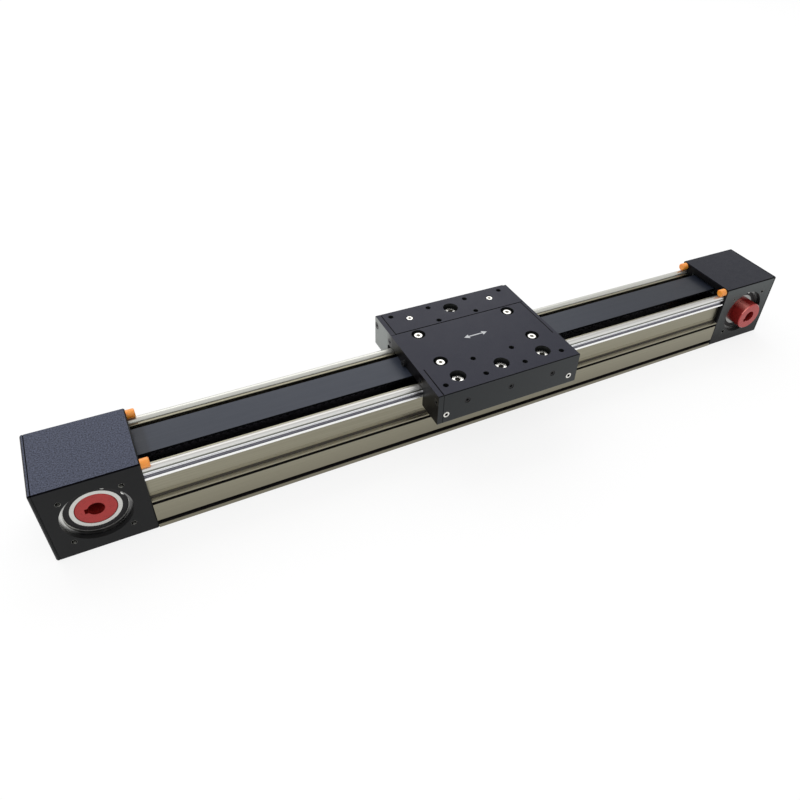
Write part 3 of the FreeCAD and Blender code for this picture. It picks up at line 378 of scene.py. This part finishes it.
def housing_coat(name):
    """Dark coat on the end housings, with a fine sparkle on the top. Painted light: the tops lighter and
    bluer, fading darker towards the right housing, the right housing's front painted lighter towards the
    top and its end faces darker, and pale painted glints in the screw holes.
    """
    tree, body = new_look(name, (0.016, 0.018, 0.023), 0.42, specular=0.12)
    fine = noise(tree, 1050.0, sharpness=0.75)
    soft = noise(tree, 260.0)
    x, y, z = split(tree, "Object")
    nx, _, _ = split(tree, "Normal")
    # Painted light: the tops fade from lighter on the left housing to darker on the right one
    far = spread(tree, x, HOUSING_FADE)
    hollow = blend(tree, far, (0.018, 0.021, 0.032), (0.007, 0.0075, 0.012))
    raised = blend(tree, far, (0.120, 0.135, 0.205), (0.022, 0.024, 0.039))
    # Painted light on the right housing: its front lighter towards the top, its end faces painted darker
    height = spread(tree, z, HOUSING_FRONT_FADE)
    lit = blend(tree, height, (0.0100, 0.0105, 0.0110), (0.095, 0.106, 0.106))
    ends = above(tree, step(tree, "ABSOLUTE", nx), 0.5)
    lit = blend(tree, ends, lit, (0.0040, 0.0040, 0.0050))
    plain = blend(tree, far, (0.0145, 0.0150, 0.0155), lit)
    # Pale painted glints on every second thread turn in the screw holes
    side = blend(tree, painted_thread_glints(tree, x, y, z), plain, (0.40, 0.40, 0.37))
    painted_lit_tops(tree, body, (hollow, raised), side, fine, (0.36, 0.72), HOUSING_TOPS)
    vary_roughness(tree, body, soft, 0.38, 0.46)
    bumped(tree, body, fine, 0.00002, 0.4)


def seams_and_front_edge(tree, x, y):
    """1 in a narrow strip along each seam between the carriage plates and along the front edge, where a
    black strip is painted as a dark reflection.
    """
    main_plate = inside(tree, y, (SEAM_FRONT_Y, LEFT_SEAM_BACK_Y))
    left = both(tree, inside(tree, x, LEFT_SEAM), step(tree, "SUBTRACT", 1.0, main_plate))
    right = patch(tree, x, RIGHT_SEAM, y, (SEAM_FRONT_Y, RIGHT_SEAM_BACK_Y))
    rear = patch(tree, y, REAR_SEAM, x, (LEFT_SEAM[0], RIGHT_SEAM[1]))
    seams = either(tree, rear, either(tree, left, right))
    # The strip along the front edge is no seam: it carries a painted dark reflection
    return either(tree, seams, below(tree, y, FRONT_EDGE))


def plate_coat(name):
    """Black anodised plates, finer and smoother than the housings, with black seams. Painted light:
    lighter, bluer tops, sides lighter towards the right with the front face darker, painted shade on the
    left end faces, a painted reflection lightening the left end's rear leg, and a black strip along the
    top's front edge as a painted dark reflection.
    """
    tree, body = new_look(name, (0.014, 0.0145, 0.017), 0.34, specular=0.12)
    fine = noise(tree, 4200.0, detail=2.0, sharpness=0.6)
    soft = noise(tree, 120.0)
    x, y, z = split(tree, "Object")
    nx, _, nz = split(tree, "Normal")
    # Painted light: the sides lighter towards the right, the front face kept darker
    skirt = blend(tree, spread(tree, x, SKIRT_FADE), (0.034, 0.037, 0.039), (0.047, 0.051, 0.053))
    skirt = blend(tree, below(tree, y, SKIRT_SKIN), (0.0140, 0.0150, 0.0150), skirt)
    # Painted shade on the left end faces, and a painted reflection lightening the rear leg of the left
    # end
    left_end = both(tree, below(tree, nx, -0.8), below(tree, x, LEFT_ENDS))
    rear_leg = both(tree, spread(tree, y, REAR_LEG_FADE), left_end)
    side = blend(tree, left_end, skirt, (0.0040, 0.0036, 0.0042))
    side = blend(tree, rear_leg, side, (0.30, 0.32, 0.31))
    on_top = both(tree, above(tree, z, SEAM_FLOORS), above(tree, nz, LEVEL_FACE))
    # Black seams between the plates, and a black strip along the top's front edge painted as a dark
    # reflection
    seams = both(tree, seams_and_front_edge(tree, x, y), on_top)
    black = (0.0010, 0.0010, 0.0015)
    hollow = blend(tree, seams, (0.0132, 0.0138, 0.0245), black)
    raised = blend(tree, seams, (0.0225, 0.0236, 0.0400), black)
    chamfer = painted_lit_tops(tree, body, (hollow, raised), side, fine, (0.35, 0.70), PLATE_TOPS)
    tree.links.new(either(tree, chamfer, seams), body.inputs["Metallic"])
    vary_roughness(tree, body, soft, 0.31, 0.38)
    bumped(tree, body, fine, 0.000008, 0.3)


def bright_screws(name):
    """Bright zinc plated steel, with painted shade: heads sunk in their holes greyer, a dark ring round
    the rims of the clamp and skirt screw heads, and dark sockets.
    """
    tree, body = new_look(name, (0.70, 0.69, 0.66), 0.24, metallic=1.0)
    soft = noise(tree, 700.0)
    zinc = vary_colour(tree, body, soft, (0.62, 0.61, 0.57), (0.84, 0.83, 0.79))
    x, y, z = split(tree, "Object")
    _, _, nz = split(tree, "Normal")
    level = above(tree, nz, LEVEL_FACE)
    clamp = away(tree, mirrored(tree, x, CARRIAGE_X, CLAMP_SCREW_OFFSET[0]),
                 mirrored(tree, y, 0.0, CLAMP_SCREW_OFFSET[1]))
    skirt = away(tree, mirrored(tree, x, CARRIAGE_X, SKIRT_SCREW_OFFSET),
                 step(tree, "SUBTRACT", z, SKIRT_SCREW_Z))
    outer = above(tree, step(tree, "ABSOLUTE", y), SIDE_HEADS)
    # Painted shade: sunk heads greyer, sockets dark, and a dark ring round the rims of the clamp and
    # skirt screw heads
    layered(tree, body, zinc, (
        (both(tree, level, inside(tree, z, SUNK_HEADS)), (0.40, 0.39, 0.37)),
        (both(tree, level, inside(tree, z, SOCKET_FLOORS)), (0.030, 0.030, 0.028)),
        (both(tree, inside(tree, clamp, CLAMP_RIM), above(tree, z, CLAMP_HEADS)), (0.035, 0.034, 0.032)),
        (both(tree, outer, below(tree, skirt, SKIRT_SOCKET_RADIUS)), (0.010, 0.010, 0.010)),
        (both(tree, outer, inside(tree, skirt, SKIRT_RIM)), (0.035, 0.036, 0.036))))
    vary_roughness(tree, body, soft, 0.18, 0.32)


def black_screws(name):
    """Blackened steel with a trace of oil."""
    tree, body = new_look(name, (0.010, 0.010, 0.011), 0.34, specular=0.22)
    vary_roughness(tree, body, noise(tree, 900.0), 0.24, 0.38)


def ground_steel(name):
    """Bearing rings and rollers, with fine turned lines, and painted shade making those at the right end
    darker.
    """
    tree, body = new_look(name, (0.60, 0.60, 0.57), 0.28, metallic=1.0)
    lines = noise(tree, 500.0)
    vary_roughness(tree, body, lines, 0.24, 0.34)
    x, _, _ = split(tree, "Object")
    turned = blend(tree, spread(tree, lines, GRAIN), (0.55, 0.55, 0.52), (0.63, 0.63, 0.60))
    # Painted shade on the parts in the right half
    layered(tree, body, turned, ((above(tree, x, RIGHT_HALF), (0.30, 0.30, 0.29)),))


def spring_steel(name):
    """Dark retaining rings with a film of oil, mottled with painted reflections, with painted highlights
    at their outer end and on their lugs.
    """
    tree, body = new_look(name, (0.055, 0.055, 0.055), 0.26, metallic=1.0)
    soft = noise(tree, 70.0, detail=2.0)
    # Painted reflections mottling the rings
    painted_mottle = blend(tree, spread(tree, soft, (0.45, 0.75)), (0.12, 0.12, 0.12), (0.36, 0.36, 0.35))
    x, _, z = split(tree, "Object")
    # Painted highlights at the outer end and on the lugs
    outer_end = spread(tree, x, RING_END_FADE, 1.0, 0.0)
    lugs = below(tree, from_axles(tree, x, z), RING_LUGS)
    layered(tree, body, painted_mottle, ((either(tree, outer_end, lugs), (0.78, 0.78, 0.75)),))
    vary_roughness(tree, body, soft, 0.26, 0.36)


def seal_rubber(name):
    tree, body = new_look(name, (0.018, 0.017, 0.018), 0.55, specular=0.25)
    fine = noise(tree, 2500.0, detail=2.0)
    vary_roughness(tree, body, fine, 0.48, 0.66)
    bumped(tree, body, fine, 0.00001, 0.3)


def orange_rubber(name):
    """Moulded orange buffers."""
    tree, body = new_look(name, (1.0, 0.34, 0.05), 0.42, specular=0.6, coat=0.25)
    body.inputs["Coat Roughness"].default_value = 0.35
    soft = noise(tree, 500.0)
    vary_colour(tree, body, soft, (1.0, 0.31, 0.025), (1.0, 0.37, 0.045))
    vary_roughness(tree, body, soft, 0.36, 0.48)
    body.inputs["Subsurface Weight"].default_value = 0.15
    body.inputs["Subsurface Scale"].default_value = 0.001


def belt_back(name):
    """Smooth dark polyurethane with the cords just showing as lines along it, and black edges, with
    painted shade darkening it towards the right and a painted shadow next to the left housing.
    """
    tree, body = new_look(name, (0.020, 0.022, 0.028), 0.34, specular=0.22)
    cords = noise(tree, (3.0, 1300.0, 60.0), detail=2.0)
    soft = noise(tree, (60.0, 200.0, 200.0))
    grain = spread(tree, cords, GRAIN)
    light = blend(tree, grain, (0.023, 0.029, 0.044), (0.029, 0.035, 0.052))
    dark = blend(tree, grain, (0.011, 0.014, 0.022), (0.015, 0.018, 0.027))
    x, _, _ = split(tree, "Object")
    _, ny, _ = split(tree, "Normal")
    # Painted shade towards the right end, and a painted shadow of the left housing next to it
    to_right = spread(tree, x, BELT_FADE)
    shade = either(tree, to_right, spread(tree, x, BELT_END_FADE, 0.8, 0.0))
    back = blend(tree, shade, light, dark)
    flat = spread(tree, step(tree, "ABSOLUTE", ny), (0.02, 0.15), 1.0, 0.0)
    tree.links.new(blend(tree, flat, (0.004, 0.004, 0.005), back), body.inputs["Base Color"])
    vary_roughness(tree, body, soft, 0.29, 0.37)
    bumped(tree, body, cords, 0.00001, 0.25)


def machined_aluminium(name):
    """Bare aluminium with cutter marks."""
    tree, body = new_look(name, (0.62, 0.62, 0.61), 0.32, metallic=1.0)
    lines = noise(tree, (1500.0, 120.0, 400.0))
    vary_roughness(tree, body, lines, 0.26, 0.42)
    bumped(tree, body, lines, 0.00001, 0.3)


def red_anodised(name):
    """Red anodised hubs with a clear skin, and a painted highlight band along the upper left of the
    right one.
    """
    tree, body = new_look(name, (0.42, 0.040, 0.036), 0.26, metallic=0.5, coat=0.2)
    body.inputs["Coat Roughness"].default_value = 0.16
    soft = noise(tree, 220.0, detail=2.0)
    vary_roughness(tree, body, soft, 0.26, 0.30)
    plain = vary_colour(tree, body, soft, (0.36, 0.022, 0.020), (0.41, 0.027, 0.024))
    x, _, z = split(tree, "Object")
    nx, _, nz = split(tree, "Normal")
    on_skin = above(tree, from_axles(tree, x, z), HUB_SKIN)
    right_hub = both(tree, above(tree, x, RIGHT_HALF), on_skin)
    upper = both(tree, above(tree, nz, 0.3), right_hub)
    # Painted highlight along the upper left of the right hub
    band = both(tree, spread(tree, nx, (-0.80, -0.50)), spread(tree, nx, (-0.48, -0.18), 1.0, 0.0))
    layered(tree, body, plain, ((both(tree, upper, band), (1.0, 0.30, 0.26)),))


def felt_look(name):
    """Oiled dark felt."""
    tree, body = new_look(name, (0.022, 0.022, 0.021), 0.9, specular=0.2)
    fibres = noise(tree, 1800.0, detail=5.0, sharpness=0.7)
    vary_colour(tree, body, fibres, (0.014, 0.014, 0.013), (0.040, 0.040, 0.037))
    bumped(tree, body, fibres, 0.0001, 0.8)


LOOKS = {
    "anodised_profile": anodised_profile,
    "polished_steel": polished_steel,
    "black_anodised_housing": housing_coat,
    "black_anodised_plate": plate_coat,
    "zinc_plated_steel": bright_screws,
    "black_steel": black_screws,
    "bearing_steel": ground_steel,
    "spring_steel": spring_steel,
    "seal_rubber": seal_rubber,
    "orange_rubber": orange_rubber,
    "belt_polyurethane": belt_back,
    "pulley_aluminium": machined_aluminium,
    "plain_aluminium": machined_aluminium,
    "red_anodised": red_anodised,
    "felt": felt_look,
}


def dress_nodes():
    """Gives every CAD node the look of its material slot."""
    for slot, make in LOOKS.items():
        make(slot + "_look")
    for part in frame["record"]["subparts"]:
        look = bpy.data.materials[part["material_slot"] + "_look"]
        for place in frame["nodes"][part["node"]].material_slots:
            place.material = look


# Travel mark on the carriage
def travel_arrow():
    """A thin printed double arrow along the travel, on the middle of the main plate."""
    half = ARROW_LENGTH / 2
    neck = half - ARROW_HEAD
    line = ARROW_LINE / 2
    outline = [(-half, 0), (-neck, -ARROW_WING), (-neck, -line), (neck, -line), (neck, -ARROW_WING),
               (half, 0), (neck, ARROW_WING), (neck, line), (-neck, line), (-neck, ARROW_WING)]
    mesh = bmesh.new()
    corners = [mesh.verts.new((CARRIAGE_X + x, y, CARRIAGE_TOP + ARROW_RAISED)) for x, y in outline]
    face = mesh.faces.new(corners)
    bmesh.ops.extrude_face_region(mesh, geom=[face])
    for corner in corners:
        corner.co.z -= ARROW_THICKNESS
    bmesh.ops.recalc_face_normals(mesh, faces=mesh.faces)
    data = bpy.data.meshes.new("travel_arrow")
    mesh.to_mesh(data)
    mesh.free()
    arrow = bpy.data.objects.new("travel_arrow", data)
    bpy.context.scene.collection.objects.link(arrow)
    tree, body = new_look("mark_paint", (0.55, 0.56, 0.58), 0.5, specular=0.4)
    fine = noise(tree, 4000.0, detail=2.0)
    vary_colour(tree, body, fine, (0.46, 0.47, 0.49), (0.60, 0.61, 0.63))
    data.materials.append(bpy.data.materials["mark_paint"])
    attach(arrow, "carriage")


# Stage
def add_floor():
    """A pale floor, shown white to the camera and in reflections, that keeps the shadow."""
    data = bpy.data.meshes.new("floor")
    corners = [(-1, -1), (1, -1), (1, 1), (-1, 1)]
    data.from_pydata([(FLOOR_REACH * x, FLOOR_REACH * y, 0) for x, y in corners], [], [(0, 1, 2, 3)])
    floor = bpy.data.objects.new("floor", data)
    floor.location.z = -FLOOR_GAP
    bpy.context.scene.collection.objects.link(floor)
    tree, body = new_look("floor_look", (0.80, 0.80, 0.80), 0.85, specular=0.1)
    glow = tree.nodes.new("ShaderNodeEmission")
    glow.inputs["Strength"].default_value = FLOOR_GLOW
    mix = tree.nodes.new("ShaderNodeMixShader")
    tree.links.new(step(tree, "MULTIPLY", seen_directly(tree), FLOOR_SHARE), mix.inputs["Fac"])
    tree.links.new(body.outputs["BSDF"], mix.inputs[1])
    tree.links.new(glow.outputs["Emission"], mix.inputs[2])
    tree.links.new(mix.outputs["Shader"], tree.nodes["Material Output"].inputs["Surface"])
    data.materials.append(bpy.data.materials["floor_look"])


def seen_directly(tree):
    """1 for camera rays and for what metal and glass show, 0 for light that falls on things."""
    rays = tree.nodes.new("ShaderNodeLightPath").outputs
    shown = either(tree, rays["Is Camera Ray"], rays["Is Glossy Ray"])
    return either(tree, shown, rays["Is Transmission Ray"])


def add_world():
    """A white world, which gives the object less light than it shows."""
    world = bpy.data.worlds.new("studio")
    bpy.context.scene.world = world
    world.use_nodes = True
    tree = world.node_tree
    sky = tree.nodes["Background"]
    sky.inputs["Color"].default_value = (1.0, 1.0, 1.0, 1.0)
    level = spread(tree, seen_directly(tree), (0.0, 1.0), WORLD_LIGHT, 1.0)
    tree.links.new(level, sky.inputs["Strength"])


def add_lamps():
    for name, (place, width, depth, power) in LAMPS.items():
        data = bpy.data.lights.new(name, "AREA")
        data.shape = "RECTANGLE"
        data.size = width
        data.size_y = depth
        data.energy = power
        lamp = bpy.data.objects.new(name, data)
        lamp.location = place
        aim = Vector(LAMP_TARGET) - Vector(place)
        lamp.rotation_euler = aim.to_track_quat("-Z", "Y").to_euler()
        bpy.context.scene.collection.objects.link(lamp)


def add_camera():
    data = bpy.data.cameras.new("camera")
    data.lens = CAMERA_LENS
    data.shift_x, data.shift_y = CAMERA_SHIFT
    data.clip_start = CAMERA_NEAREST
    camera = bpy.data.objects.new("camera", data)
    turn = Matrix.Rotation(math.radians(-CAMERA_AZIMUTH), 4, "Z")
    turn = turn @ Matrix.Rotation(math.radians(90 - CAMERA_DOWN), 4, "X")
    turn = turn @ Matrix.Rotation(math.radians(CAMERA_ROLL), 4, "Z")
    camera.matrix_world = Matrix.Translation(CAMERA_AT) @ turn
    bpy.context.scene.collection.objects.link(camera)
    bpy.context.scene.camera = camera


dress_nodes()
travel_arrow()
add_floor()
add_world()
add_lamps()
add_camera()
bpy.context.scene.view_settings.view_transform = "Standard"
